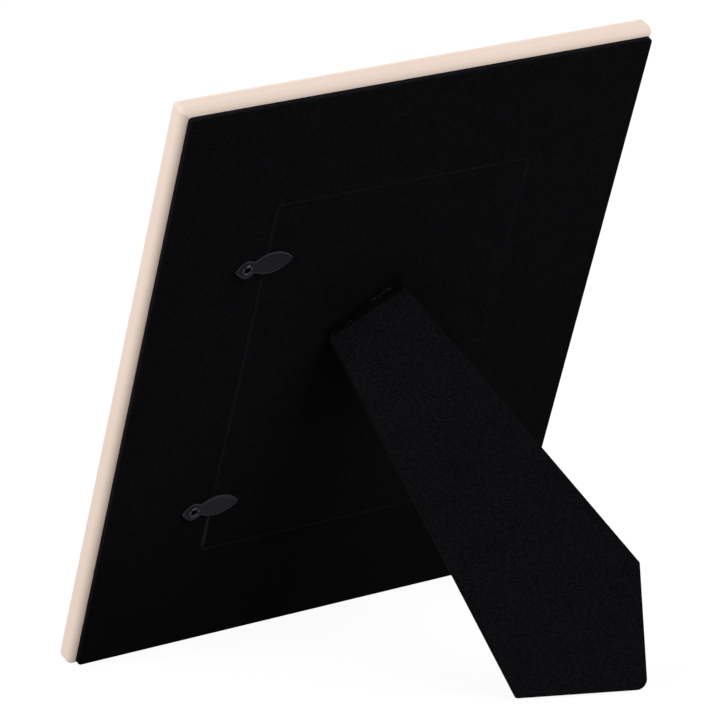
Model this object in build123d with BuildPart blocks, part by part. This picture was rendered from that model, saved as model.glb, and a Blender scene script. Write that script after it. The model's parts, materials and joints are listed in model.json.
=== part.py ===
from build123d import *
from math import atan, cos, degrees, radians, sin, tan
import os

os.makedirs("parts", exist_ok=True)

# Easel back photo frame. Lengths are in millimetres and angles in degrees.
# On the leaning back, across runs to the right seen from behind, up runs along the frame
# and out leaves the back. Out is zero where the back board lies on the front frame.

# Stance
lean_angle = 20.4

# Front frame: a lacquered slab with rounded edges, a window and a pocket for glass and print
frame_width = 203.2
frame_height = 254.0
frame_thickness = 10.5
frame_edge_round = 3.8
frame_corner_round = 1.5
window_lip = 5.0
window_edge_round = 1.5

# Print, glass and filler, which lie in the pocket behind the window
print_width = 101.6
print_height = 152.4
print_thickness = 0.25
print_overlap = 3.2
pocket_clearance = 0.6
glass_thickness = 2.0
filler_clearance = 0.1

# Back board and its velvet, which wraps round the board's edges
board_thickness = 1.6
velvet_thickness = 0.5
velvet_edge_round = 0.4
back_inset = 2.0
back_corner_round = 1.7

# Door in the back board, hinged along its right side on a strip of velvet
door_width = 108.0
door_height = 159.0
door_gap = 0.5
velvet_hinge_width = 2.4
velvet_hinge_crown = 0.3
velvet_hinge_stop = 8.0

# Turn buttons on the left of the door, each a stamped leaf with an eye
turn_button_offset = 8.2
turn_button_low = 20.5
turn_button_spacing = 112.3
lower_button_tilt = 2.8
upper_button_tilt = 4.7
turn_button_thickness = 0.9
turn_button_lift = 0.15
turn_button_edge_round = 0.2
eye_radius = 3.8
tail_reach = 4.9
tail_round = 0.9
neck_round = 2.0
blade_root = 0.7
blade_reach = 19.3
blade_half_width = 4.6
blade_offset = 0.4
blade_tip_round = 1.2

# Tubular eyelets that the turn buttons swing on
eyelet_radius = 1.55
eyelet_bore = 1.2
eyelet_flange_radius = 2.4
eyelet_flange = 0.45
eyelet_flange_round = 0.3
eyelet_clinch_radius = 2.3
eyelet_clinch = 0.4
running_fit = 0.06
fixed_fit = 0.05
eyelet_play = 0.1

# Leg: a velvet covered board with a lining, splayed to stand the frame either way up
leg_splay = 30.5
leg_board_thickness = 2.0
leg_lining_thickness = 0.3
leg_top_width = 34.5
leg_left_flare = 6.2
leg_right_flare = 6.9
leg_side_inset = 7.7
leg_foot_round = 4.2
leg_corner_round = 0.9
hinge_across = -1.3
hinge_up = 144.9
stop_clearance = 0.05

# Strut hinge between the door and the leg
hinge_length = 27.0
knuckle_count = 5
knuckle_radius = 1.1
knuckle_gap = 0.3
pin_radius = 0.55
pin_overhang = 0.3
hinge_clearance = 0.3
leaf_thickness = 0.6
leaf_corner_round = 1.5
door_leaf_reach = 15.0
leg_leaf_reach = 19.0

# Rivets that hold the hinge leaves
rivet_count = 3
rivet_pitch = 9.0
rivet_radius = 1.1
rivet_head_radius = 2.0
rivet_head = 0.5
rivet_head_round = 0.35
rivet_clinch = 0.4
door_rivet_drop = 9.5
leg_rivet_drop = 13.0

# How far a cut runs past the face that it opens
overrun = 1.0

# Stance worked out from the sizes: the lower back edge and the leg's foot meet the table
lean = radians(lean_angle)
splay = radians(leg_splay)
ground_drop = frame_edge_round * (cos(lean) + sin(lean) - 1)
swing = 2 * atan(tan(lean) / cos(splay))
back = Plane(origin=(0, 0, -ground_drop), x_dir=(-1, 0, 0), z_dir=(0, cos(lean), -sin(lean)))
outward = Axis(back.origin, back.z_dir)
middle = frame_height / 2

# Heights out of the back
surface = board_thickness + velvet_thickness
hinge_lift = knuckle_radius + hinge_clearance
pivot_out = surface + hinge_lift
pocket_depth = frame_thickness - window_lip
pocket_width = print_width + 2 * pocket_clearance
pocket_height = print_height + 2 * pocket_clearance
window_width = print_width - 2 * print_overlap
window_height = print_height - 2 * print_overlap
filler_thickness = pocket_depth - glass_thickness - print_thickness - filler_clearance

# Edges of the door seen from behind
door_left = -door_width / 2
door_bottom = middle - door_height / 2
door_hinge = door_width / 2 - velvet_hinge_width / 2
board_hinge = door_width / 2 + velvet_hinge_width / 2
turn_button_across = door_left - turn_button_offset
turn_button_ups = (door_bottom + turn_button_low, door_bottom + turn_button_low + turn_button_spacing)

# Leg in its own plane: across runs along the hinge, and up runs from the foot to the hinge
hinge_plane = Plane(back.location * Location((hinge_across, hinge_up, pivot_out), (0, 0, leg_splay)))
leg_plane = Plane(hinge_plane.location * Location((0, 0, 0), (-degrees(swing), 0, 0)))
heel = (hinge_lift - stop_clearance + hinge_lift * cos(swing)) / sin(swing)
leg_rise = sin(swing) * cos(splay) * cos(lean) - cos(swing) * sin(lean)
foot_up = (ground_drop + pivot_out * sin(lean) - hinge_lift * leg_rise) / cos(lean)
side_across = frame_width / 2 - leg_side_inset
leg_thickness = leg_lining_thickness + leg_board_thickness + velvet_thickness
foot_corner = 3

# Middles of the slab's rounded corners, taken round from the upper right seen from behind
corner_across = frame_width / 2 - frame_corner_round
corner_up = frame_height / 2 - frame_corner_round
corner_sides = [(1, 1), (-1, 1), (-1, -1), (1, -1)]
quarter_turn = 90


def corner_quarter(turn, across, up):
    """Quarter of the slab's rounded edge, turned about the middle of a rounded corner."""
    corner = Plane(back.location * Location((across, up, 0), (0, 0, turn)))
    with BuildSketch(Plane(origin=corner.origin, x_dir=corner.x_dir, z_dir=-corner.y_dir)) as profile:
        with Locations((frame_corner_round, 0)):
            Rectangle(2 * frame_edge_round, frame_thickness, align=(Align.MAX, Align.MAX))
        fillet(profile.vertices().group_by(Axis.X)[-1], frame_edge_round)
        Rectangle(frame_corner_round, frame_thickness, align=(Align.MIN, Align.MAX), mode=Mode.INTERSECT)
    revolve(profile.sketch, axis=Axis(corner.origin, corner.z_dir), revolution_arc=quarter_turn)


def leg_corners():
    """Corners of the leg's outline: top left, top right, side, foot and heel of the foot."""
    half = leg_top_width / 2
    left = tan(radians(leg_left_flare))
    right = tan(radians(leg_right_flare))
    drop = hinge_up - foot_up
    reach = side_across - hinge_across
    side_y = (reach - cos(splay) * (half + right * heel)) / (sin(splay) + cos(splay) * right)
    side_x = half + right * (side_y + heel)
    foot_x = reach * cos(splay) - drop * sin(splay)
    foot_y = reach * sin(splay) + drop * cos(splay)
    near_y = (drop - sin(splay) * (half + left * heel)) / (cos(splay) + sin(splay) * left)
    near_x = -half - left * (near_y + heel)
    return [(-half, heel), (half, heel), (side_x, -side_y), (foot_x, -foot_y), (near_x, -near_y)]


def leg_outline(inset):
    """Outline of the leg with its rounded corners, drawn in by an inset."""
    corners = leg_corners()
    with BuildSketch() as outline:
        Polygon(*corners, align=None)
        for i, corner in enumerate(corners):
            vertex = outline.vertices().sort_by_distance((*corner, 0))[0]
            fillet(vertex, leg_foot_round if i == foot_corner else leg_corner_round)
        if inset > 0:
            offset(amount=-inset)
    return outline.sketch


def door_outline():
    """Outline of the door, with tabs that reach round the ends of its velvet hinge."""
    tab = velvet_hinge_width - door_gap
    with Locations((door_left, door_bottom)):
        Rectangle(door_hinge - door_left, door_height, align=(Align.MIN, Align.MIN))
    with Locations((door_hinge, door_bottom)):
        Rectangle(tab, velvet_hinge_stop - door_gap, align=(Align.MIN, Align.MIN))
    with Locations((door_hinge, door_bottom + door_height)):
        Rectangle(tab, velvet_hinge_stop - door_gap, align=(Align.MIN, Align.MAX))


def door_opening():
    """Outline of the opening that the door lies in."""
    with Locations((door_left - door_gap, middle)):
        Rectangle(board_hinge - door_left + door_gap, door_height + 2 * door_gap, align=(Align.MIN, Align.CENTER))


def turn_button_plane(up, out, tilt):
    """Plane about a turn button's eye, with x along its blade."""
    return Plane(back.location * Location((turn_button_across, up, out), (0, 0, tilt)))


def turn_button_blank():
    """Leaf blade, round eye and pointed tail of a turn button, about the middle of the eye."""
    with BuildSketch() as blank:
        Circle(eye_radius)
        with Locations((tail_round - tail_reach, 0)):
            Circle(tail_round)
        make_hull()
        with BuildLine():
            SagittaArc((blade_root, blade_offset), (blade_reach, blade_offset), blade_half_width)
            SagittaArc((blade_root, blade_offset), (blade_reach, blade_offset), -blade_half_width)
        make_face()
        fillet(blank.vertices().filter_by_position(Axis.X, blade_root, eye_radius), neck_round)
        fillet(blank.vertices().sort_by(Axis.X)[-1], blade_tip_round)
        Circle(eyelet_radius + running_fit, mode=Mode.SUBTRACT)
    return blank.sketch


def rivet_spots(drop):
    """Places of one row of rivets below the hinge pin."""
    return [((i - (rivet_count - 1) / 2) * rivet_pitch, -drop) for i in range(rivet_count)]


knuckle_pitch = hinge_length / knuckle_count
barrel_plane = Plane(origin=hinge_plane.origin, x_dir=hinge_plane.y_dir, z_dir=hinge_plane.x_dir)


def knuckles(first):
    """Every other knuckle of the hinge barrel, with its bore."""
    for i in range(first, knuckle_count, 2):
        start = i * knuckle_pitch + knuckle_gap / 2 - hinge_length / 2
        with BuildSketch(barrel_plane.offset(start)) as knuckle:
            Circle(knuckle_radius)
        extrude(knuckle.sketch, amount=knuckle_pitch - knuckle_gap)
    with BuildSketch(barrel_plane.offset(-hinge_length)) as bore:
        Circle(pin_radius + running_fit)
    extrude(bore.sketch, amount=2 * hinge_length, mode=Mode.SUBTRACT)


def leaf_outline(reach, first, drop):
    """Hinge leaf below the pin, notched for the other leaf's knuckles, with its rivet holes."""
    Rectangle(hinge_length - knuckle_gap, reach, align=(Align.CENTER, Align.MAX))
    for i in range(1 - first, knuckle_count, 2):
        with Locations(((i + 1 / 2) * knuckle_pitch - hinge_length / 2, overrun)):
            notch = knuckle_radius + hinge_clearance + overrun
            Rectangle(knuckle_pitch + knuckle_gap, notch, align=(Align.CENTER, Align.MAX), mode=Mode.SUBTRACT)
    with Locations(*rivet_spots(drop)):
        Circle(rivet_radius + fixed_fit, mode=Mode.SUBTRACT)


rising = Plane(origin=back.origin, x_dir=back.x_dir, z_dir=back.y_dir)
back_width = frame_width - 2 * back_inset
back_height = frame_height - 2 * back_inset
core_width = back_width - 2 * velvet_thickness
core_height = back_height - 2 * velvet_thickness
core_corner_round = back_corner_round - velvet_thickness
eyelet_spots = [(turn_button_across, up) for up in turn_button_ups]
leg_face = leg_outline(0)
leg_core_face = leg_outline(velvet_thickness)
turn_button_face = turn_button_blank()

with BuildPart() as front_frame:
    with BuildSketch(back):
        with Locations((0, middle)):
            Rectangle(frame_width, frame_height)
    extrude(amount=-frame_thickness)
    slab_faces = front_frame.faces().filter_by(back).sort_by(outward)
    fillet(slab_faces[0].edges() + slab_faces[-1].edges(), frame_edge_round)
    with BuildSketch(back):
        with Locations((0, middle)):
            with GridLocations(frame_width - frame_corner_round, frame_height - frame_corner_round, 2, 2):
                Rectangle(frame_corner_round, frame_corner_round)
    extrude(amount=-frame_thickness, mode=Mode.SUBTRACT)
    for i, (across_side, up_side) in enumerate(corner_sides):
        corner_quarter(i * quarter_turn, across_side * corner_across, middle + up_side * corner_up)
    with BuildSketch(back):
        with Locations((0, middle)):
            Rectangle(pocket_width, pocket_height)
    extrude(amount=-pocket_depth, mode=Mode.SUBTRACT)
    with BuildSketch(back):
        with Locations((0, middle)):
            Rectangle(window_width, window_height)
    extrude(amount=-frame_thickness - overrun, mode=Mode.SUBTRACT)
    front_face = front_frame.faces().filter_by(back).sort_by(outward)[0]
    fillet(front_face.inner_wires()[0].edges(), window_edge_round)
front_frame.part.label = "front_frame"

with BuildPart() as glass_pane:
    with BuildSketch(back.offset(-pocket_depth)):
        with Locations((0, middle)):
            Rectangle(print_width, print_height)
    extrude(amount=glass_thickness)
glass_pane.part.label = "glass_pane"

with BuildPart() as picture_print:
    with BuildSketch(back.offset(glass_thickness - pocket_depth)):
        with Locations((0, middle)):
            Rectangle(print_width, print_height)
    extrude(amount=print_thickness)
picture_print.part.label = "picture_print"

with BuildPart() as filler_board:
    with BuildSketch(back.offset(-filler_clearance)):
        with Locations((0, middle)):
            Rectangle(print_width, print_height)
    extrude(amount=-filler_thickness)
filler_board.part.label = "filler_board"

with BuildPart() as back_board:
    with BuildSketch(back):
        with Locations((0, middle)):
            RectangleRounded(core_width, core_height, core_corner_round)
        with Locations(*eyelet_spots):
            Circle(eyelet_radius + fixed_fit, mode=Mode.SUBTRACT)
    extrude(amount=board_thickness)
    with BuildSketch(back):
        with Locations(*eyelet_spots):
            Circle(eyelet_clinch_radius + fixed_fit)
    extrude(amount=eyelet_clinch, mode=Mode.SUBTRACT)
    with BuildSketch(back):
        door_opening()
    extrude(amount=board_thickness + overrun, mode=Mode.SUBTRACT)
back_board.part.label = "back_board"

with BuildPart() as back_velvet:
    with BuildSketch(back):
        with Locations((0, middle)):
            RectangleRounded(back_width, back_height, back_corner_round)
    extrude(amount=surface)
    fillet(back_velvet.faces().sort_by(outward)[-1].edges(), velvet_edge_round)
    with BuildSketch(back):
        with Locations((0, middle)):
            RectangleRounded(core_width, core_height, core_corner_round)
    extrude(amount=board_thickness, mode=Mode.SUBTRACT)
    with BuildSketch(back):
        door_opening()
        with Locations(*eyelet_spots):
            Circle(eyelet_radius + fixed_fit)
    extrude(amount=surface + overrun, mode=Mode.SUBTRACT)
back_velvet.part.label = "back_velvet"

with BuildPart() as door_board:
    with BuildSketch(back):
        door_outline()
    extrude(amount=board_thickness)
    with BuildSketch(hinge_plane.offset(-pivot_out)):
        with Locations(*rivet_spots(door_rivet_drop)):
            Circle(rivet_radius + fixed_fit)
    extrude(amount=board_thickness, mode=Mode.SUBTRACT)
    with BuildSketch(hinge_plane.offset(-pivot_out)):
        with Locations(*rivet_spots(door_rivet_drop)):
            Circle(rivet_head_radius + fixed_fit)
    extrude(amount=rivet_clinch, mode=Mode.SUBTRACT)
door_board.part.label = "door_board"

with BuildPart() as door_velvet:
    with BuildSketch(back.offset(board_thickness)):
        door_outline()
    extrude(amount=velvet_thickness)
    with BuildSketch(hinge_plane.offset(board_thickness - pivot_out)):
        with Locations(*rivet_spots(door_rivet_drop)):
            Circle(rivet_radius + fixed_fit)
    extrude(amount=velvet_thickness, mode=Mode.SUBTRACT)
door_velvet.part.label = "door_velvet"

with BuildPart() as velvet_hinge:
    with BuildSketch(rising.offset(door_bottom + velvet_hinge_stop)):
        with BuildLine():
            crest = ((door_hinge + board_hinge) / 2, -surface - velvet_hinge_crown)
            ThreePointArc((door_hinge, -surface), crest, (board_hinge, -surface))
            Polyline((board_hinge, -surface), (board_hinge, -board_thickness), (door_hinge, -board_thickness))
            Line((door_hinge, -board_thickness), (door_hinge, -surface))
        make_face()
    extrude(amount=door_height - 2 * velvet_hinge_stop)
velvet_hinge.part.label = "velvet_hinge"

button_out = surface + turn_button_lift
flange_out = button_out + turn_button_thickness + eyelet_play

with BuildPart() as turn_button_eyelets:
    with BuildSketch(back):
        with Locations(*eyelet_spots):
            Circle(eyelet_radius)
    extrude(amount=flange_out)
    with BuildSketch(back):
        with Locations(*eyelet_spots):
            Circle(eyelet_clinch_radius)
    extrude(amount=eyelet_clinch - fixed_fit)
    with BuildSketch(back.offset(flange_out)):
        with Locations(*eyelet_spots):
            Circle(eyelet_flange_radius)
    extrude(amount=eyelet_flange)
    with BuildSketch(back):
        with Locations(*eyelet_spots):
            Circle(eyelet_bore)
    extrude(amount=flange_out + eyelet_flange + overrun, mode=Mode.SUBTRACT)
    flange_tops = turn_button_eyelets.faces().filter_by(back).sort_by(outward)[-2:]
    fillet(flange_tops.edges(), eyelet_flange_round)
turn_button_eyelets.part.label = "turn_button_eyelets"

with BuildPart() as turn_button_lower:
    with BuildSketch(turn_button_plane(turn_button_ups[0], button_out, lower_button_tilt)):
        add(turn_button_face)
    extrude(amount=turn_button_thickness)
    lower_top = turn_button_lower.faces().filter_by(back).sort_by(outward)[-1]
    fillet(lower_top.outer_wire().edges(), turn_button_edge_round)
turn_button_lower.part.label = "turn_button_lower"

with BuildPart() as turn_button_upper:
    with BuildSketch(turn_button_plane(turn_button_ups[1], button_out, upper_button_tilt)):
        add(turn_button_face)
    extrude(amount=turn_button_thickness)
    upper_top = turn_button_upper.faces().filter_by(back).sort_by(outward)[-1]
    fillet(upper_top.outer_wire().edges(), turn_button_edge_round)
turn_button_upper.part.label = "turn_button_upper"

with BuildPart() as hinge_door_leaf:
    with BuildSketch(hinge_plane.offset(-hinge_lift)) as door_leaf_blank:
        leaf_outline(door_leaf_reach, 0, door_rivet_drop)
        fillet(door_leaf_blank.vertices().group_by(Axis.Y)[0], leaf_corner_round)
    extrude(amount=leaf_thickness)
    knuckles(0)
hinge_door_leaf.part.label = "hinge_door_leaf"

with BuildPart() as hinge_leg_leaf:
    with BuildSketch(leg_plane.offset(hinge_lift)) as leg_leaf_blank:
        leaf_outline(leg_leaf_reach, 1, leg_rivet_drop)
        fillet(leg_leaf_blank.vertices().group_by(Axis.Y)[0], leaf_corner_round)
    extrude(amount=-leaf_thickness)
    knuckles(1)
hinge_leg_leaf.part.label = "hinge_leg_leaf"

with BuildPart() as hinge_pin:
    with BuildSketch(barrel_plane):
        Circle(pin_radius)
    extrude(amount=hinge_length / 2 + pin_overhang, both=True)
hinge_pin.part.label = "hinge_pin"

with BuildPart() as door_leaf_rivets:
    with BuildSketch(hinge_plane.offset(-pivot_out)):
        with Locations(*rivet_spots(door_rivet_drop)):
            Circle(rivet_head_radius)
    extrude(amount=rivet_clinch - fixed_fit)
    with BuildSketch(hinge_plane.offset(-pivot_out)):
        with Locations(*rivet_spots(door_rivet_drop)):
            Circle(rivet_radius)
    extrude(amount=surface + leaf_thickness)
    with BuildSketch(hinge_plane.offset(leaf_thickness - hinge_lift)):
        with Locations(*rivet_spots(door_rivet_drop)):
            Circle(rivet_head_radius)
    extrude(amount=rivet_head)
    door_heads = door_leaf_rivets.faces().filter_by(back).sort_by(outward)[-rivet_count:]
    fillet(door_heads.edges(), rivet_head_round)
door_leaf_rivets.part.label = "door_leaf_rivets"

leg_core_out = hinge_lift + leg_lining_thickness
leg_velvet_out = leg_core_out + leg_board_thickness
leg_outward = Axis(leg_plane.origin, leg_plane.z_dir)

with BuildPart() as leg_leaf_rivets:
    with BuildSketch(leg_plane.offset(leg_velvet_out)):
        with Locations(*rivet_spots(leg_rivet_drop)):
            Circle(rivet_head_radius)
    extrude(amount=fixed_fit - rivet_clinch)
    with BuildSketch(leg_plane.offset(leg_velvet_out)):
        with Locations(*rivet_spots(leg_rivet_drop)):
            Circle(rivet_radius)
    extrude(amount=-leg_board_thickness - leg_lining_thickness - leaf_thickness)
    with BuildSketch(leg_plane.offset(hinge_lift - leaf_thickness)):
        with Locations(*rivet_spots(leg_rivet_drop)):
            Circle(rivet_head_radius)
    extrude(amount=-rivet_head)
    leg_heads = leg_leaf_rivets.faces().filter_by(leg_plane).sort_by(leg_outward)[:rivet_count]
    fillet(leg_heads.edges(), rivet_head_round)
leg_leaf_rivets.part.label = "leg_leaf_rivets"

with BuildPart() as leg_board:
    with BuildSketch(leg_plane.offset(leg_core_out)):
        add(leg_core_face)
        with Locations(*rivet_spots(leg_rivet_drop)):
            Circle(rivet_radius + fixed_fit, mode=Mode.SUBTRACT)
    extrude(amount=leg_board_thickness)
    with BuildSketch(leg_plane.offset(leg_velvet_out)):
        with Locations(*rivet_spots(leg_rivet_drop)):
            Circle(rivet_head_radius + fixed_fit)
    extrude(amount=-rivet_clinch, mode=Mode.SUBTRACT)
leg_board.part.label = "leg_board"

with BuildPart() as leg_velvet:
    with BuildSketch(leg_plane.offset(hinge_lift)):
        add(leg_face)
    extrude(amount=leg_thickness)
    fillet(leg_velvet.faces().filter_by(leg_plane).sort_by(leg_outward)[-1].edges(), velvet_edge_round)
    with BuildSketch(leg_plane.offset(hinge_lift)):
        add(leg_core_face)
    extrude(amount=leg_lining_thickness + leg_board_thickness, mode=Mode.SUBTRACT)
leg_velvet.part.label = "leg_velvet"

with BuildPart() as leg_lining:
    with BuildSketch(leg_plane.offset(hinge_lift)):
        add(leg_core_face)
        with Locations(*rivet_spots(leg_rivet_drop)):
            Circle(rivet_radius + fixed_fit, mode=Mode.SUBTRACT)
    extrude(amount=leg_lining_thickness)
leg_lining.part.label = "leg_lining"

# The finished pieces are set so that the middle of the depth lies over the origin
pieces = [
    front_frame, glass_pane, picture_print, filler_board, back_board, back_velvet, door_board, door_velvet,
    velvet_hinge, turn_button_eyelets, turn_button_lower, turn_button_upper, hinge_door_leaf, hinge_leg_leaf,
    hinge_pin, door_leaf_rivets, leg_leaf_rivets, leg_board, leg_velvet, leg_lining,
]
nearest = min(piece.part.bounding_box().min.Y for piece in pieces)
furthest = max(piece.part.bounding_box().max.Y for piece in pieces)
for piece in pieces:
    solid = Pos(0, -(nearest + furthest) / 2, 0) * piece.part
    solid.label = piece.part.label
    export_step(solid, f"parts/{solid.label}.step")
print("depth shift", -(nearest + furthest) / 2)
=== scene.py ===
# %% [markdown]
# # A photo frame seen from behind
# The frame is a pale lacquered slab with a black velvet back, a door for the print, two metal
# turn buttons and a leg that folds out. Its solids are already drawn, so this lesson keeps them
# where they are and makes what Blender is good at: cloth, metal, paint, light. The frame is drawn
# in millimetres and turned to metres as each mesh is made. The studio round it, with its floor,
# lamps and camera, is in metres.

# %% Load the imported part
import json
import math
import bpy
import numpy as np
from mathutils import Matrix, Vector, kdtree, noise
from mathutils.geometry import delaunay_2d_cdt


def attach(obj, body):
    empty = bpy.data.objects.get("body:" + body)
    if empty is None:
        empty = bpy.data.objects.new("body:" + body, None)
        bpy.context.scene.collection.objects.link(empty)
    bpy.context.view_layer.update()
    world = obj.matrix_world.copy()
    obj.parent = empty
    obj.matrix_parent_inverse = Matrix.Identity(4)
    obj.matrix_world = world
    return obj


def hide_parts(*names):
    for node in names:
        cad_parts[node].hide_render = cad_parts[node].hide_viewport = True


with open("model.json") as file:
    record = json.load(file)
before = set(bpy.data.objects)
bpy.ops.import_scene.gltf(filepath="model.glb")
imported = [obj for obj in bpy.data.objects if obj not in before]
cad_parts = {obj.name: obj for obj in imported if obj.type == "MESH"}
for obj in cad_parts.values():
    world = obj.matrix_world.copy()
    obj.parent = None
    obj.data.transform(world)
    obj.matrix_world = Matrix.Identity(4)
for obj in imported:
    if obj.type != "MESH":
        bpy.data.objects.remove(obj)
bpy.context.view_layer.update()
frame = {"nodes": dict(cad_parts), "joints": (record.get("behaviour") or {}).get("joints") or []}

# %% [markdown]
# ## Two working planes
# The back leans and the leg slants, so drawing in world axes would be hard to read. The joints
# already say where the two planes are: a turn button turns about the line out of the back, and
# the leg about its hinge. A matrix for each plane lets the cells below draw as on a flat bench.

# %% The back's plane and the leg's plane
MM = 0.001
# Where the eyes of the turn buttons are on the back.
EYE_ACROSS, EYE_UPS, EYE_OUT = -62.2, (68.0, 180.3), 2.25
joints = {joint["name"]: joint for joint in frame["joints"]}
out = Vector(joints["lower_button_turn"]["axis"])
up = Vector((0, -out.z, out.y))
across = up.cross(out)
eye = Vector(joints["lower_button_turn"]["pos_m"])
back = Matrix((across, up, out)).transposed().to_4x4()
back.translation = eye - MM * (EYE_ACROSS * across + EYE_UPS[0] * up + EYE_OUT * out)

hinge = Vector(joints["leg_fold"]["axis"])
swing = math.radians(joints["leg_fold"]["range_deg"][1])
leg_out = Matrix.Rotation(-swing, 3, hinge) @ out
leg = Matrix((hinge, leg_out.cross(hinge), leg_out)).transposed().to_4x4()
leg.translation = Vector(joints["leg_fold"]["pos_m"])
leg_inside = leg @ Matrix.Rotation(math.pi, 4, "Y")
hinge_spot = (back.inverted() @ leg.translation) / MM
splay = math.atan2(hinge.dot(up), hinge.dot(across))


def from_hinge(u, v):
    """A place on the back, measured along the hinge and square to it."""
    return Matrix.Rotation(-splay, 2) @ (Vector((u, v)) - hinge_spot.to_2d())


print("back starts at", [round(x, 4) for x in back.translation])

# %% [markdown]
# ## One helper for every node
# Materials and Geometry Nodes are both trees of nodes. One small function adds a node, sets its
# settings and fills its inputs with values or with links from other nodes.

# %% Adding nodes, colours and scales
def add(tree, kind, inputs=None, **settings):
    """Adds a node with its settings, and fills its inputs with values or links."""
    node = tree.nodes.new(kind)
    for key, value in settings.items():
        setattr(node, key, value)
    for key, value in (inputs or {}).items():
        if isinstance(value, bpy.types.NodeSocket):
            tree.links.new(value, node.inputs[key])
        else:
            node.inputs[key].default_value = value
    return node


def linear(code):
    """Linear colour of an sRGB hex code."""
    parts = [int(code[i:i + 2], 16) / 255 for i in (0, 2, 4)]
    return [p / 12.92 if p <= 0.04045 else ((p + 0.055) / 1.055) ** 2.4 for p in parts] + [1.0]


def per(size):
    """Texture scale for features of a size in millimetres."""
    return 1 / (size * MM)


def finish_for(name):
    """A new material with its shader and its Object coordinates."""
    material = bpy.data.materials.new(name)
    material.use_nodes = True
    tree = material.node_tree
    shader = tree.nodes["Principled BSDF"]
    return material, tree, shader, add(tree, "ShaderNodeTexCoord").outputs["Object"]


print("mid grey", [round(x, 3) for x in linear("808080")])

# %% [markdown]
# ## Velvet
# Velvet is a woven backing with a dense cut pile. Light falls in between the fibres and hardly
# comes out, so black velvet is darker than paint, and it brightens only a little at the edges
# where the fibres stand against the light. Hair could stand for the pile, but at this distance it
# would cost much and show little, so the material draws it with noise and a fine bump. The pile
# is far finer than a pixel, so its tufts are drawn about half a millimetre wide to show at all.
# Along a cut the grey backing shows. Light and shade are also painted on the pile: the meshes carry the raw
# edge and a painted shade and painted highlight as attributes, and the material mixes them in.

# %% Black velvet and its raw edge
def velvet(name, deep, lit):
    """Black cut pile: two tones of nap, fine tufts, painted shade and highlight from an attribute, and the
    grey backing along a raw edge.
    """
    material, tree, shader, where = finish_for(name)
    lay = add(tree, "ShaderNodeMapping", {"Vector": where, "Scale": (per(1.6), per(0.6), per(0.6))})
    nap = add(tree, "ShaderNodeTexNoise", {"Vector": where, "Scale": per(9.0), "Detail": 3.0})
    tufts = add(tree, "ShaderNodeTexNoise", {"Vector": where, "Scale": per(0.58), "Detail": 2.0})
    streaks = add(tree, "ShaderNodeTexNoise", {"Vector": lay.outputs[0], "Scale": 1.0, "Detail": 2.0})
    grain = add(tree, "ShaderNodeMath", {0: tufts.outputs[0], 1: streaks.outputs[0]}, operation="ADD")
    tone = add(tree, "ShaderNodeMath", {0: nap.outputs[0], 1: 0.25, 2: grain.outputs[0]},
               operation="MULTIPLY_ADD")
    share = add(tree, "ShaderNodeMapRange", {0: tone.outputs[0], 1: 0.85, 2: 1.4})
    pile = add(tree, "ShaderNodeMix", {0: share.outputs[0], 6: linear(deep), 7: linear(lit)},
               data_type="RGBA")
    painted_light = add(tree, "ShaderNodeAttribute", attribute_name="painted_light").outputs["Fac"]
    blotch = add(tree, "ShaderNodeTexNoise", {"Vector": where, "Scale": per(2.2), "Detail": 3.0})
    patch = add(tree, "ShaderNodeMapRange", {0: blotch.outputs[0], 1: 0.38, 2: 0.62, 3: 0.5, 4: 1.0})
    # Painted light: the attribute darkens the pile where shade falls and lightens it where light falls.
    pressed = add(tree, "ShaderNodeMapRange", {0: painted_light, 1: -1.0, 2: 0.0, 3: 0.06, 4: 1.0})
    bright = add(tree, "ShaderNodeMapRange", {0: painted_light, 3: 0.0, 4: 1.1})
    painted_light_tone = add(tree, "ShaderNodeMath", {0: bright.outputs[0], 1: patch.outputs[0], 2: pressed.outputs[0]},
                 operation="MULTIPLY_ADD")
    shaded_and_worn = add(tree, "ShaderNodeVectorMath", {0: pile.outputs[2], "Scale": painted_light_tone.outputs[0]},
               operation="SCALE")
    raw = add(tree, "ShaderNodeAttribute", attribute_name="raw_edge_and_rim_highlight")
    threads = add(tree, "ShaderNodeTexNoise", {"Vector": where, "Scale": per(0.5), "Detail": 1.0})
    torn = add(tree, "ShaderNodeMath", {0: raw.outputs["Fac"], 1: threads.outputs[0]}, operation="MULTIPLY")
    edged = add(tree, "ShaderNodeMix", {0: torn.outputs[0], 6: shaded_and_worn.outputs[0], 7: linear("55545a")},
                data_type="RGBA")
    bump = add(tree, "ShaderNodeBump", {"Height": grain.outputs[0], "Strength": 0.6, "Distance": 0.25 * MM})
    tree.links.new(edged.outputs[2], shader.inputs["Base Color"])
    tree.links.new(bump.outputs[0], shader.inputs["Normal"])
    shader.inputs["Roughness"].default_value = 0.95
    shader.inputs["Specular IOR Level"].default_value = 0.02
    shader.inputs["Sheen Weight"].default_value = 0.02
    shader.inputs["Sheen Roughness"].default_value = 0.4
    return material


black_velvet = velvet("black cotton velvet", "070709", "17171a")
print("finish", black_velvet.name)

# %% [markdown]
# ## Outlines with rounded corners
# Board, door and leg are all flat pieces with straight sides and small rounded corners. A
# polygon walked once round, with an arc at each corner, gives both the points and the direction
# away from the edge at each of them. That direction is what every rim below is built on.

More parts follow.
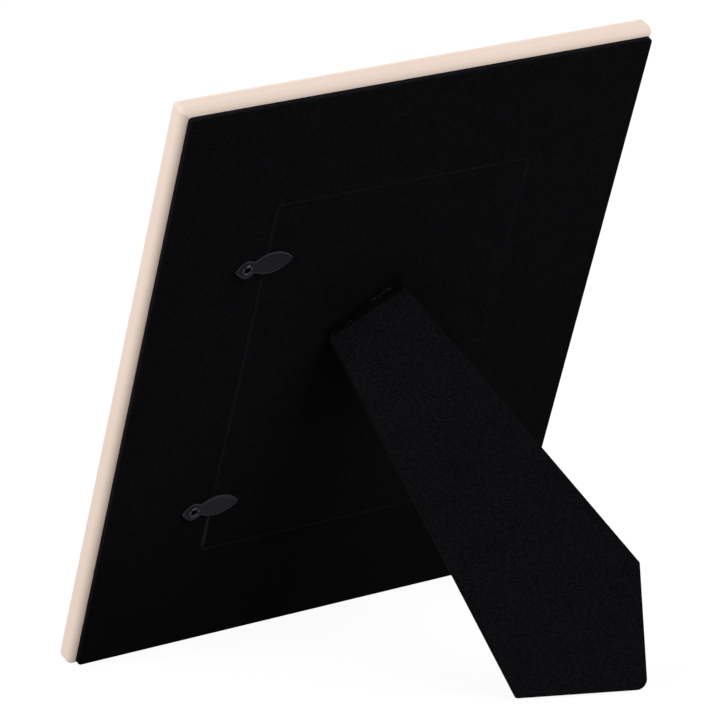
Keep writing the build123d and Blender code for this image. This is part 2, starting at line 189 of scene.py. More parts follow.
# %% A rounded outline
def rounded_outline(corners, rounds, step):
    """Points and outward directions round a polygon, counter-clockwise, with rounded corners."""
    spots, ways = [], []
    count = len(corners)
    arcs = []
    for i, corner in enumerate(corners):
        here = Vector(corner)
        coming = (here - Vector(corners[i - 1])).normalized()
        going = (Vector(corners[(i + 1) % count]) - here).normalized()
        turn = math.atan2(coming.x * going.y - coming.y * going.x, coming.dot(going))
        trim = rounds[i] * math.tan(abs(turn) / 2)
        side = Vector((coming.y, -coming.x))
        bend = math.copysign(rounds[i], turn)
        middle = here - coming * trim - side * bend
        pieces = max(3, math.ceil(rounds[i] * abs(turn) / (0.5 * step)))
        arc = []
        for k in range(pieces + 1):
            way = Matrix.Rotation(turn * k / pieces, 2) @ side
            arc.append((middle + way * bend, way))
        arcs.append(arc)
    for i, arc in enumerate(arcs):
        end, way = arc[-1]
        gap = arcs[(i + 1) % count][0][0] - end
        runs = max(1, round(gap.length / step))
        straight = [(end + gap * (k / runs), way) for k in range(1, runs)]
        for spot, way in arc + straight:
            spots.append(spot)
            ways.append(way)
    return spots, ways


square = rounded_outline([(0, 0), (10, 0), (10, 10), (0, 10)], [2] * 4, 1)
print("test outline has", len(square[0]), "points")

# %% [markdown]
# ## A skin over a flat piece
# Cloth glued to a board is flat in the middle and rolls over at its rims. So a skin is made of
# two parts: rings that follow an outline with a given cross-section, and an even scatter of
# triangles over the field between them. Blender's constrained Delaunay triangulation fills any
# outline, with holes, and the small triangles can then carry the nap's soft unevenness.

# %% Which points lie inside
def inside(spots, loop):
    """Which points lie inside a loop of points, by counting the edges that each one is left of."""
    spots, loop = np.array(spots), np.array(loop)
    found = np.zeros(len(spots), bool)
    for a, b in zip(loop, np.roll(loop, -1, axis=0)):
        if a[1] != b[1]:
            between = (a[1] > spots[:, 1]) != (b[1] > spots[:, 1])
            cross = a[0] + (spots[:, 1] - a[1]) * (b[0] - a[0]) / (b[1] - a[1])
            found ^= between & (spots[:, 0] < cross)
    return found


def within(spots, loops):
    """Which points lie inside the first loop and outside the others."""
    found = inside(spots, loops[0])
    for loop in loops[1:]:
        found &= ~inside(spots, loop)
    return found


print("inside the test outline", within([(5, 5), (12, 5)], [square[0]]))

# %% An even scatter of points
ROW_RISE = 0.866  # height of a triangle with sides of one


def field(loops, step):
    """Even scatter of points between the loops and clear of all of them."""
    edge = [spot for loop in loops for spot in loop]
    near = kdtree.KDTree(len(edge))
    for i, spot in enumerate(edge):
        near.insert(spot.to_3d(), i)
    near.balance()
    xs, ys = [p.x for p in loops[0]], [p.y for p in loops[0]]
    rows = int((max(ys) - min(ys)) / (step * ROW_RISE))
    cells = int((max(xs) - min(xs)) / step) + 1
    grid = [Vector((min(xs) + (i + 0.5 * (j % 2)) * step, min(ys) + j * step * ROW_RISE))
            for j in range(1, rows) for i in range(cells)]
    fits = within(grid, loops)
    return [spot for spot, fit in zip(grid, fits) if fit and near.find(spot.to_3d())[2] > 0.7 * step]


print("scatter over the test outline", len(field([square[0]], 1)), "points")

# %% Rings round the rims, triangles between them
def skin(rims, level, step, relief, extra=()):
    """Points, faces and edge shares of a skin: bare backing on cloth, painted highlight on a button's rim. A
    rim is an outline, its side and its section.
    """
    points, faces, raw, loops, ends = [], [], [], [], []
    for (spots, ways), into, section in rims:
        rings = []
        for k, (inset, rise, bare) in enumerate(section):
            share = k / (len(section) - 1)
            rings.append(range(len(points), len(points) + len(spots)))
            for spot, way in zip(spots, ways):
                p = spot + way * (into * inset)
                points.append(Vector((p.x, p.y, level + rise + share * relief(p.x, p.y))))
                raw.append(bare)
        for a, b in zip(rings, rings[1:]):
            for i in range(len(spots)):
                j = (i + 1) % len(spots)
                quad = (a[i], a[j], b[j], b[i])
                faces.append(quad if into < 0 else quad[::-1])
        loops.append([points[i].to_2d() for i in rings[-1]])
        ends.append(rings[-1])
    middle = field(loops, step) + [Vector(spot) for spot in extra]
    known = [i for end in ends for i in end]
    edges, start = [], 0
    for end in ends:
        edges += [(start + i, start + (i + 1) % len(end)) for i in range(len(end))]
        start += len(end)
    for spot in middle:
        known.append(len(points))
        points.append(Vector((spot.x, spot.y, level + rims[0][2][-1][1] + relief(spot.x, spot.y))))
        raw.append(0.0)
    flat = [points[i].to_2d() for i in known]
    _, _, cells, origins, _, _ = delaunay_2d_cdt(flat, edges, [], 0, 1e-6)
    trios = [[known[origins[i][0]] for i in cell] for cell in cells]
    centres = [(points[a] + points[b] + points[c]).to_2d() / 3 for a, b, c in trios]
    faces += [trio for trio, fits in zip(trios, within(centres, loops)) if fits]
    return points, faces, raw


flat_rim = [(0.0, 0.0, 0.0), (0.5, 0.0, 0.0)]
test_skin = skin([(square, -1, flat_rim)], 0, 1, lambda x, y: 0)
print("test skin has", len(test_skin[1]), "faces")

# %% From drawn points to an object
def plain_mesh(piece):
    """The mesh that an object's modifiers make of it."""
    bpy.context.view_layer.update()
    return bpy.data.meshes.new_from_object(piece.evaluated_get(bpy.context.evaluated_depsgraph_get()))


def make(name, points, faces, plane, finish, raw=None, painted_light=None, wall=0.0, sharp=40):
    """An object from local millimetres, with a wall inwards if asked, smooth except at sharp edges."""
    mesh = bpy.data.meshes.new(name)
    mesh.from_pydata([plane @ (Vector(p) * MM) for p in points], [], faces)
    for label, values in (("raw_edge_and_rim_highlight", raw), ("painted_light", painted_light)):
        if values is not None:
            mesh.attributes.new(label, "FLOAT", "POINT").data.foreach_set("value", values)
    piece = bpy.data.objects.new(name, mesh)
    bpy.context.scene.collection.objects.link(piece)
    if wall:
        shell = piece.modifiers.new("wall", "SOLIDIFY")
        shell.thickness, shell.offset, shell.thickness_clamp = wall * MM, -1, 1.0
        piece.data = plain_mesh(piece)
        piece.data.name = name
        piece.modifiers.clear()
    piece.data.polygons.foreach_set("use_smooth", [True] * len(piece.data.polygons))
    piece.data.set_sharp_from_angle(angle=math.radians(sharp))
    piece.data.materials.clear()
    piece.data.materials.append(finish)
    return piece


print("one drawn unit is", MM, "metres")

# %% [markdown]
# ## The velvet back and its door
# One sheet of velvet covers the back board and the door. It is wrapped round the board's edges,
# and it is cut on three sides of the door and for a few millimetres round the last two corners.
# The fourth side is left whole, and there the cloth is only creased: that crease is the door's
# hinge. So the sheet is drawn whole, with the cut as one narrow C-shaped hole, and is then
# divided along the crease into the board's part and the door's part.

# %% The sheet's sizes
BACK_WIDE, BACK_HIGH, BACK_MIDDLE = 199.2, 250.0, 127.0
BACK_ROUND, VELVET_OUT, VELVET_WALL = 1.7, 2.1, 0.42
DOOR_LEFT, DOOR_RIGHT, DOOR_LOW, DOOR_TOP = -54.25, 54.95, 47.25, 206.75
CUT, CUT_TURN, DOOR_ROUND = 0.03, 8.3, 1.7
HINGE_LINE = 54.0
# Each step of a section: how far in from the outline, how high, and how bare the backing is.
WRAP = [(0.0, -2.05, 0.0), (0.0, -1.2, 0.0), (0.0, -0.45, 0.0), (0.06, -0.22, 0.0), (0.2, -0.06, 0.0),
        (0.45, 0.02, 0.0), (0.9, 0.03, 0.0), (1.6, 0.0, 0.0)]
LIP = [(0.0, 0.0, 0.5), (0.05, 0.04, 0.5), (0.2, 0.07, 0.46), (0.42, 0.06, 0.28), (0.75, 0.02, 0.08),
       (1.1, 0.0, 0.0)]


def soft(a, b, x):
    """Smooth step from 0 at a to 1 at b."""
    t = min(1, max(0, (x - a) / (b - a)))
    return t * t * (3 - 2 * t)


def back_relief(u, v):
    """Unevenness of the glued cloth, and the puckered crease that the door swings on."""
    nap = 0.05 * noise.noise((u / 18, v / 18, 3)) + 0.025 * noise.noise((u / 5, v / 5, 8))
    near = soft(DOOR_LOW + CUT_TURN - 4, DOOR_LOW + CUT_TURN + 3, v)
    near *= soft(DOOR_TOP - CUT_TURN + 4, DOOR_TOP - CUT_TURN - 3, v)
    crown = 0.08 * math.exp(-(((u - HINGE_LINE) / 1.6) ** 2))
    pucker = noise.noise((u / 2.4, v / 3.6, 5)) * math.exp(-(((u - HINGE_LINE) / 3.2) ** 2))
    return nap + near * (crown + 0.07 * pucker)


def back_painted_light(u, v):
    """Painted light on the back's pile: a painted highlight along the crease, a painted shadow in the gap
    beside the leg's end, the leg's soft painted shadow round it, and painted shade towards the foot.
    """
    within_crease = soft(DOOR_LOW, DOOR_LOW + 12, v) * soft(DOOR_TOP, DOOR_TOP - 12, v)
    # Painted highlight along the crease.
    painted_light_tone = 0.15 * within_crease * math.exp(-(((u - HINGE_LINE) / 2.4) ** 2))
    spot = from_hinge(u, v)
    # Painted shadow beside the leg's end, the leg's wider painted shadow, and painted shade towards the foot
    # of the back.
    leg_end_shade = soft(2.0, 4.4, spot.y) * soft(12.6, 8.8, spot.y - 0.07 * spot.x) * soft(19.0, 16.0, abs(spot.x))
    leg_shadow = 0.35 * soft(50, 8, spot.length)
    return painted_light_tone - max(leg_end_shade, leg_shadow, 0.5 * soft(90, 10, v))


def cut_show(u, v):
    """How far the backing shows along the cut: most at the foot of the left side."""
    left, foot, low, right = soft(-48, -53, u), soft(67, 61, v), soft(50, 48, v), soft(51, 54, u)
    share = 0.18 + 0.03 * low + 0.16 * right + left * (0.16 + 1.5 * foot * (1 - low))
    return share * (0.8 + 0.6 * noise.noise((u / 6, v / 6, 12)))


print("cloth is cut to", BACK_WIDE + 2 * VELVET_OUT, "by", BACK_HIGH + 2 * VELVET_OUT)

# %% The sheet, divided at the crease
def box_corners(left, low, right, top):
    """Corners of a box, counter-clockwise."""
    return [(left, low), (right, low), (right, top), (left, top)]


half = BACK_WIDE / 2
low_edge, top_edge = BACK_MIDDLE - BACK_HIGH / 2, BACK_MIDDLE + BACK_HIGH / 2
back_rim = rounded_outline(box_corners(-half, low_edge, half, top_edge), [BACK_ROUND] * 4, step=1.3)
turn_low, turn_top = DOOR_LOW + CUT_TURN, DOOR_TOP - CUT_TURN
outer = [(DOOR_RIGHT + CUT, turn_top), (DOOR_RIGHT + CUT, DOOR_TOP + CUT), (DOOR_LEFT - CUT, DOOR_TOP + CUT),
         (DOOR_LEFT - CUT, DOOR_LOW - CUT), (DOOR_RIGHT + CUT, DOOR_LOW - CUT), (DOOR_RIGHT + CUT, turn_low)]
inner = [(DOOR_RIGHT - CUT, turn_low), (DOOR_RIGHT - CUT, DOOR_LOW + CUT), (DOOR_LEFT + CUT, DOOR_LOW + CUT),
         (DOOR_LEFT + CUT, DOOR_TOP - CUT), (DOOR_RIGHT - CUT, DOOR_TOP - CUT), (DOOR_RIGHT - CUT, turn_top)]
cut_rounds = [CUT / 2] + [DOOR_ROUND + 2 * CUT] * 4 + [CUT / 2, CUT / 2] + [DOOR_ROUND] * 4 + [CUT / 2]
cut_rim = rounded_outline(outer + inner, cut_rounds, step=1.2)
# Extra points where the painted shadow beside the leg's end lies.
leg_end_shade = [Matrix.Rotation(splay, 2) @ Vector((0.9 * i, 1.6 + 0.9 * k)) + hinge_spot.to_2d()
       for i in range(-21, 22) for k in range(12)]
crease_rows = range(int(turn_top - turn_low - 8))
crease = [(HINGE_LINE + 0.6 * i, turn_low + 4 + k) for i in range(-4, 5) for k in crease_rows]
back_rims = [(back_rim, -1, WRAP), (cut_rim, 1, LIP)]
points, faces, raw = skin(back_rims, VELVET_OUT, step=1.7, relief=back_relief, extra=crease + leg_end_shade)
raw = [bare * cut_show(p.x, p.y) for p, bare in zip(points, raw)]


def of_door(face):
    """Whether a face of the sheet lies inside the cut and the crease."""
    u = sum(points[i].x for i in face) / len(face)
    v = sum(points[i].y for i in face) / len(face)
    return DOOR_LEFT < u < DOOR_RIGHT + 0.3 * (turn_low < v < turn_top) and DOOR_LOW < v < DOOR_TOP


def part_of(chosen):
    """The points, faces, raw-edge shares and painted light that the chosen faces use."""
    used = sorted({i for face in chosen for i in face})
    number = {i: k for k, i in enumerate(used)}
    sides = [[number[i] for i in face] for face in chosen]
    painted_light = [back_painted_light(points[i].x, points[i].y) for i in used]
    return [points[i] for i in used], sides, [raw[i] for i in used], painted_light


back_points, back_faces, *back_marks = part_of([face for face in faces if not of_door(face)])
door_points, door_faces, *door_marks = part_of([face for face in faces if of_door(face)])
back_cloth = make("back_velvet_cloth", back_points, back_faces, back, black_velvet, *back_marks, VELVET_WALL)
door_cloth = make("door_velvet_cloth", door_points, door_faces, back, black_velvet, *door_marks, VELVET_WALL)
for cloth, nodes in ((back_cloth, ["back_velvet"]), (door_cloth, ["door_velvet", "velvet_hinge"])):
    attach(cloth, "frame")
    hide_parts(*nodes)
    print(cloth.name, len(cloth.data.polygons), "faces")

# %% [markdown]
# ## The leg's velvet and lining
# The leg is a stiff board in a velvet cover. The cover is drawn over the outer face and down the
# edges, turned in by a few millimetres on the inner face, and a black paper lining is pasted
# over the turned-in cloth. Outline and rims are made with the same tools as the back.

# %% The leg's cover
# Corners of the leg, along its hinge and square to it.
LEG = [(-33.477, -146.199), (9.469, -171.496), (33.459, -130.77), (17.25, 3.175), (-17.25, 3.175)]
LEG_ROUNDS = [0.9, 4.2, 0.9, 0.9, 0.9]
LEG_IN, LEG_OUT, TURN_IN = 1.4, 4.2, 4.5
LEG_WRAP = [(0.0, -2.66, 0.0), (0.0, -1.4, 0.0), (0.0, -0.42, 0.0), (0.06, -0.2, 0.0), (0.2, -0.05, 0.0),
            (0.4, 0.02, 0.0), (0.7, 0.02, 0.0)]


def leg_relief(x, y):
    """Unevenness of the glued cloth on the leg."""
    return 0.05 * noise.noise((x / 16, y / 16, 21)) + 0.025 * noise.noise((x / 5, y / 5, 27))


def drawn_in(corners, inset):
    """A polygon drawn in by an inset, with mitred corners."""
    count, found = len(corners), []
    for i in range(count):
        a, b, c = (Vector(corners[(i + k) % count]) for k in (-1, 0, 1))
        one, two = (b - a).normalized(), (c - b).normalized()
        side = Vector((-one.y, one.x)) + Vector((-two.y, two.x))
        found.append(tuple(b + side * (inset / (1 + one.dot(two)))))
    return found


def leg_painted_shade(spot):
    """Painted shade on the leg's pile: much darker on its walls, a little darker on its face, and a little
    less so towards its top end.
    """
    return -0.6 if spot.z < LEG_OUT - 0.15 else 0.24 * soft(-65, -10, spot.y) - 0.21


leg_rim = rounded_outline(LEG, LEG_ROUNDS, step=1.2)
leg_points, leg_faces, leg_raw = skin([(leg_rim, -1, LEG_WRAP)], LEG_OUT, step=1.6, relief=leg_relief)
# Painted shade on the leg's cloth.
shaded_and_worn = [leg_painted_shade(p) for p in leg_points]
leg_cloth = make("leg_velvet_cloth", leg_points, leg_faces, leg, black_velvet, leg_raw, shaded_and_worn, VELVET_WALL)
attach(leg_cloth, "leg")
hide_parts("leg_velvet")
print(leg_cloth.name, len(leg_cloth.data.polygons), "faces")

# %% [markdown]
# ### The raw end of the cover
# At the leg's top end the cover is cut off and not turned in. A ragged flap of it bends over the
# edge and lies on the door, and along its cut the grey backing shows in clumps. Simulating so
# small a scrap of cloth would gain nothing, so the flap is a strip of quads along a bent path,
# and noise makes its edge ragged.

# %% A ragged flap
FLAP_LEFT, FLAP_STEP, FLAP_COUNT, FLAP_ROWS = -16.7, 0.3, 112, 8
FLAP_BEND = [(3.0, 4.05), (3.9, 4.0), (4.7, 4.05), (5.6, 4.5), (6.4, 5.3), (7.2, 6.2)]


def flap_reach(x):
    """How far the ragged flap of cover laps past the leg's top end: most to the right of its middle."""
    lap = 0.8 + 1.2 * soft(-10, 0, x) + 1.7 * soft(0.5, 4, x) - 3.0 * soft(12.4, 13.8, x)
    return max(0.4, lap + 0.5 * noise.noise((x / 2.2, 4, 2)) + 0.8 * noise.noise((x / 0.7, 7, 2)))


def flap_spot(x, share):
    """A place on the flap, which droops from the leg's edge and then lies on the door."""
    left = share * flap_reach(x)
    for start, end in zip(FLAP_BEND, FLAP_BEND[1:]):
        run = math.dist(start, end)
        if left <= run:
            break
        left -= run
    y, z = Vector(start).lerp(Vector(end), min(1, left / run))
    return Vector((x, y, z + 0.12 * noise.noise((x / 1.5, 3 * share, 6))))


def flap_show(x):
    """How far the backing shows along the flap's raw edge: in clumps, most towards its right."""
    clump = max(0, 0.15 + 1.8 * noise.noise((x / 0.9, 9, 5)))
    return clump * (0.1 + 0.8 * soft(2, 4, x) * soft(13.5, 12.5, x))


flap_xs = [FLAP_LEFT + FLAP_STEP * i for i in range(FLAP_COUNT)]
shares = [k / (FLAP_ROWS - 1) for k in range(FLAP_ROWS)]
flap_points = [flap_spot(x, share) for share in shares for x in flap_xs]
flap_raw = [max(0, 3 * share - 2) * flap_show(x) for share in shares for x in flap_xs]
# Painted shade: the flap is drawn darker, most across the middle of its width.
flap_painted_shade = [-0.5 - 1.2 * share * (1 - share) for share in shares for _ in flap_xs]
starts = [k * FLAP_COUNT + i for k in range(FLAP_ROWS - 1) for i in range(FLAP_COUNT - 1)]
flap_faces = [(a, a + 1, a + FLAP_COUNT + 1, a + FLAP_COUNT) for a in starts]
flap = make("leg_velvet_raw_end", flap_points, flap_faces, leg, black_velvet, flap_raw, flap_painted_shade, wall=0.3)
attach(flap, "leg")
print(flap.name, len(flap.data.polygons), "faces")

# %% [markdown]
# ### The lining
# The inner face of the leg shows a margin of turned-in velvet round a sheet of black paper. The
# margin is a skin with a hole in it, and the paper a thin skin that laps over the hole's rim.

# %% The lining inside the leg
def lining_paper():
    """Black machine paper: matt, with a faint fibre grain and small cockles."""
    material, tree, shader, where = finish_for("black lining paper")
    fibre = add(tree, "ShaderNodeTexNoise", {"Vector": where, "Scale": per(0.6), "Detail": 4.0})
    cockle = add(tree, "ShaderNodeTexNoise", {"Vector": where, "Scale": per(12.0), "Detail": 2.0})
    tone = add(tree, "ShaderNodeMix", {0: fibre.outputs[0], 6: linear("141416"), 7: linear("222225")},
               data_type="RGBA")
    height = add(tree, "ShaderNodeMath", {0: cockle.outputs[0], 1: 3.0, 2: fibre.outputs[0]},
                 operation="MULTIPLY_ADD")
    bump = add(tree, "ShaderNodeBump", {"Height": height.outputs[0], "Strength": 0.4, "Distance": 0.1 * MM})
    tree.links.new(tone.outputs[2], shader.inputs["Base Color"])
    tree.links.new(bump.outputs[0], shader.inputs["Normal"])
    shader.inputs["Roughness"].default_value = 0.8
    shader.inputs["Specular IOR Level"].default_value = 0.15
    return material


def paper_relief(x, y):
    """Small cockles of pasted paper."""
    return 0.03 * noise.noise((x / 9, y / 9, 2)) - 0.03


LAP = 1.0
mirrored = [(-x, y) for x, y in reversed(LEG)]
PAPER = [(0.0, -0.06, 0.0), (0.03, 0.0, 0.0), (0.5, 0.0, 0.0)]
MARGIN = [(0.18, -0.3, 0.0), (0.26, -0.1, 0.0), (0.45, -0.02, 0.0), (0.7, -0.01, 0.0)]
HIDDEN = [(0.0, -0.14, 0.0), (0.8, -0.12, 0.0), (1.2, -0.01, 0.0)]
margin_rim = rounded_outline(mirrored, LEG_ROUNDS[::-1], step=1.2)
hidden_rim = rounded_outline(drawn_in(mirrored, TURN_IN), [0.3] * 5, step=1.2)
margin_rims = [(margin_rim, -1, MARGIN), (hidden_rim, 1, HIDDEN)]
margin_points, margin_faces, _ = skin(margin_rims, -LEG_IN, step=1.6, relief=lambda x, y: 0.0)
margin = make("leg_velvet_turn_in", margin_points, margin_faces, leg_inside, black_velvet)
paper_rim = rounded_outline(drawn_in(mirrored, TURN_IN - LAP), [0.6] * 5, step=1.5)
paper_points, paper_faces, _ = skin([(paper_rim, -1, PAPER)], -LEG_IN, step=2.4, relief=paper_relief)
paper = make("leg_lining_paper", paper_points, paper_faces, leg_inside, lining_paper(), wall=0.1)
for piece, finish in ((margin, "black_velvet"), (paper, "black_paper")):
    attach(piece, "leg")
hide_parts("leg_lining")
print("turn-in and lining", len(margin.data.polygons), len(paper.data.polygons))

# %% [markdown]
# ## Turn buttons
# Each turn button is a leaf pressed from thin steel: an eye for the eyelet, a waist, a blade
# with a raised rim and a tip bent up a little for a fingernail. Its outline is worked out as a
# half-width along the blade, then the same skin tool gives it the rolled rim, and a wall closes
# it underneath.

# %% The leaf's outline
# Measured along the leaf, from the middle of its eye.
EYE_ROUND, TAIL_END, TAIL_ROUND = 3.8, -4.9, 0.9
BLADE_ROOT, BLADE_END, BLADE_HALF, BLADE_OFFSET, TIP_ROUND = 0.7, 19.3, 4.6, 0.4, 1.2
TIP_LIFT, BEND_START, BEND_RUN, LEAF_STEPS = 0.45, 13.5, 5.4, 70
BUTTON_TILTS, EYE_HOLE, WAIST_SOFT = (math.radians(2.8), math.radians(4.7)), 1.61, 1.1
TAIL_MIDDLE = TAIL_END + TAIL_ROUND
TAIL_SLOPE = math.asin((EYE_ROUND - TAIL_ROUND) / -TAIL_MIDDLE)
BLADE_MIDDLE, BLADE_CHORD = (BLADE_ROOT + BLADE_END) / 2, (BLADE_END - BLADE_ROOT) / 2
BLADE_RADIUS = (BLADE_CHORD ** 2 + BLADE_HALF ** 2) / (2 * BLADE_HALF)
BLADE_DROP = BLADE_RADIUS - BLADE_HALF
TIP_MIDDLE = BLADE_MIDDLE + math.sqrt((BLADE_RADIUS - TIP_ROUND) ** 2 - BLADE_DROP ** 2)
TIP_TOUCH = BLADE_MIDDLE + (TIP_MIDDLE - BLADE_MIDDLE) * BLADE_RADIUS / (BLADE_RADIUS - TIP_ROUND)


def bow(radius, x):
    """Half-width of a circle at a distance from its middle."""
    return math.sqrt(max(0, radius ** 2 - x ** 2))


def leaf_half_width(x, side):
    """Width of the leaf to one side of its eye's line: tail, eye, waist, blade and tip."""
    offset = side * BLADE_OFFSET
    if x < TAIL_MIDDLE - TAIL_ROUND * math.sin(TAIL_SLOPE):
        return bow(TAIL_ROUND, x - TAIL_MIDDLE)
    if x < -EYE_ROUND * math.sin(TAIL_SLOPE):
        return EYE_ROUND / math.cos(TAIL_SLOPE) + x * math.tan(TAIL_SLOPE)
    if x > TIP_TOUCH:
        return bow(TIP_ROUND, x - TIP_MIDDLE) + offset
    blade = bow(BLADE_RADIUS, x - BLADE_MIDDLE) - BLADE_DROP + offset
    if x > BLADE_MIDDLE:
        return blade
    mix = max(0, 1 - abs(bow(EYE_ROUND, x) - blade) / WAIST_SOFT)
    return max(bow(EYE_ROUND, x), blade) + WAIST_SOFT / 4 * mix * mix


def leaf_outline():
    """Points and outward directions round the leaf."""
    reach = TIP_MIDDLE + TIP_ROUND - TAIL_END
    shares = [0.5 - 0.5 * math.cos(math.pi * k / LEAF_STEPS) for k in range(LEAF_STEPS + 1)]
    stations = [TAIL_END + reach * share for share in shares]
    upper = [Vector((x, leaf_half_width(x, 1))) for x in stations]
    lower = [Vector((x, -leaf_half_width(x, -1))) for x in stations]
    loop = lower[:-1] + upper[:0:-1]
    ways = []
    for a, b in zip(loop[-1:] + loop[:-1], loop[1:] + loop[:1]):
        run = (b - a).normalized()
        ways.append(Vector((run.y, -run.x)))
    return loop, ways


def leaf_relief(x, y):
    """Bent-up tip."""
    return TIP_LIFT * max(0, (x - BEND_START) / BEND_RUN) ** 2


leaf = leaf_outline()
print("leaf outline", len(leaf[0]), "points")

# %% [markdown]
# ### Black nickel
# The buttons and eyelets are steel with a dark nickel plate: a metal, so its colour tints what
# it mirrors. Tumbling leaves it satin, with small scratches in all directions. A button's raised
# rim is painted lighter: a painted highlight.

# %% Plated steel finishes
def plated(name, deep, shaded_and_worn, painted_light_tone, rough, grit):
    """Plated steel: cloudy satin roughness, tumbling marks, tone that varies with handling, and a painted
    highlight on rims.
    """
    material, tree, shader, where = finish_for(name)
    cloud = add(tree, "ShaderNodeTexNoise", {"Vector": where, "Scale": per(4.0), "Detail": 3.0})
    marks = add(tree, "ShaderNodeTexNoise", {
        "Vector": where, "Scale": per(grit), "Detail": 4.0, "Roughness": 0.7})
    plain = add(tree, "ShaderNodeMix", {0: cloud.outputs[0], 6: linear(deep), 7: linear(shaded_and_worn)},
                data_type="RGBA")
    # Painted highlight: rims are mixed towards a lighter tone by the mesh's rim share.
    rim = add(tree, "ShaderNodeAttribute", attribute_name="raw_edge_and_rim_highlight").outputs["Fac"]
    tone = add(tree, "ShaderNodeMix", {0: rim, 6: plain.outputs[2], 7: linear(painted_light_tone)}, data_type="RGBA")
    satin = add(tree, "ShaderNodeMapRange", {
        0: marks.outputs[0], 1: 0.3, 2: 0.7, 3: rough - 0.08, 4: rough + 0.1})
    bump = add(tree, "ShaderNodeBump", {"Height": marks.outputs[0], "Strength": 0.25, "Distance": 0.02 * MM})
    tree.links.new(tone.outputs[2], shader.inputs["Base Color"])
    tree.links.new(satin.outputs[0], shader.inputs["Roughness"])
    tree.links.new(bump.outputs[0], shader.inputs["Normal"])
    shader.inputs["Metallic"].default_value = 1.0
    return material


button_steel = plated("black nickel plated steel", "201e24", "28262c", "313035", rough=0.58, grit=0.35)
eyelet_steel = plated("nickel plated eyelet steel", "312f34", "434147", "55535a", rough=0.34, grit=0.3)
hinge_steel = plated("blackened hinge steel", "0f0e11", "141317", "1b1a1e", rough=0.5, grit=0.35)
print("finishes", button_steel.name, eyelet_steel.name, hinge_steel.name)

# %% Two turn buttons
# The third number of each rolled step is its share of painted highlight, not bare metal.
ROLLED = [(0.0, -0.62, 0.0), (0.0, -0.3, 0.4), (0.05, -0.13, 0.8), (0.16, -0.02, 1.0), (0.32, 0.0, 1.0),
          (0.46, -0.07, 0.5), (0.58, -0.15, 0.0)]
PUNCHED = [(0.0, -0.62, 0.0), (0.0, -0.2, 0.0), (0.1, -0.06, 0.0), (0.3, -0.14, 0.0)]
BUTTON_TOP = 0.9
around_hole = box_corners(-EYE_HOLE, -EYE_HOLE, EYE_HOLE, EYE_HOLE)
hole = rounded_outline(around_hole, [EYE_HOLE * 0.999] * 4, step=0.5)
leaf_rims = [(leaf, -1, ROLLED), (hole, 1, PUNCHED)]
leaf_points, leaf_faces, leaf_rim_highlight = skin(leaf_rims, BUTTON_TOP, step=0.6, relief=leaf_relief)
for name, rise, tilt in zip(("lower", "upper"), EYE_UPS, BUTTON_TILTS):
    middle = MM * Vector((EYE_ACROSS, rise, EYE_OUT))
    plane = back @ Matrix.Translation(middle) @ Matrix.Rotation(tilt, 4, "Z")
    button = make(f"turn_button_{name}_leaf", leaf_points, leaf_faces, plane, button_steel, leaf_rim_highlight,
                  wall=0.25, sharp=50)
    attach(button, f"{name}_button")
    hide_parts(f"turn_button_{name}")
    print(button.name, len(button.data.polygons), "faces")

# %% [markdown]
# ## Eyelets
# A tubular eyelet is set with a star punch: the end of its tube splits into petals that curl
# outwards over the eye of the leaf. One petal is drawn as a profile turned through part of a
# circle. A Geometry Nodes tree then turns copies of it about the middle, each a little smaller or
# larger than the next, which is what hand-set eyelets look like.

# %% One petal and the tube
PETALS, SLIT, FLANGE_OUT = 5, 0.26, 3.25
PETAL = [(1.5, -0.3), (1.55, -0.1), (1.7, 0.05), (2.2, 0.0), (2.4, 0.03), (2.34, 0.18), (2.15, 0.36),
         (1.88, 0.45), (1.62, 0.4), (1.42, 0.26), (1.28, 0.02), (1.2, -0.3)]
TUBE = [(1.2, -3.2), (2.3, -3.2), (2.3, -2.9), (1.55, -2.9), (1.55, -0.25), (1.2, -0.25)]


def turned(profile, sweep, steps):
    """A closed profile of radius and height turned about an axis: a ring, or a sector with flat ends."""
    whole = math.isclose(sweep, 2 * math.pi)
    rounds = steps if whole else steps + 1
    size = len(profile)
    angles = [sweep * k / steps for k in range(rounds)]
    spots = [(r * math.cos(a), r * math.sin(a), z) for a in angles for r, z in profile]
    sides = []
    for k in range(steps):
        here, there = k * size, (k + 1) % rounds * size
        for i in range(size):
            j = (i + 1) % size
            sides.append((here + i, there + i, there + j, here + j))
    ends = [] if whole else [list(range(size)), list(range(steps * size, rounds * size))[::-1]]
    return spots, sides + ends


petal_spots, petal_faces = turned(PETAL, 2 * math.pi / PETALS - SLIT, steps=8)
print("petal", len(petal_faces), "faces")

# %% A tree that turns copies about the middle
def group_for(name, floats, whole):
    """A Geometry Nodes group with named number inputs and a finish, and its group input."""
    tree = bpy.data.node_groups.new(name, "GeometryNodeTree")
    face = tree.interface
    face.new_socket("Geometry", in_out="INPUT", socket_type="NodeSocketGeometry")
    for label in floats:
        face.new_socket(label, in_out="INPUT", socket_type="NodeSocketFloat")
    for label in whole:
        face.new_socket(label, in_out="INPUT", socket_type="NodeSocketInt")
    face.new_socket("Finish", in_out="INPUT", socket_type="NodeSocketMaterial")
    face.new_socket("Geometry", in_out="OUTPUT", socket_type="NodeSocketGeometry")
    return tree, add(tree, "NodeGroupInput").outputs


def finish_group(tree, copies, finish):
    """Makes the copies real, gives them their finish and hands them out."""
    real = add(tree, "GeometryNodeRealizeInstances", {0: copies.outputs[0]})
    done = add(tree, "GeometryNodeSetMaterial", {"Geometry": real.outputs[0], "Material": finish})
    add(tree, "NodeGroupOutput", {"Geometry": done.outputs[0]})
    return tree


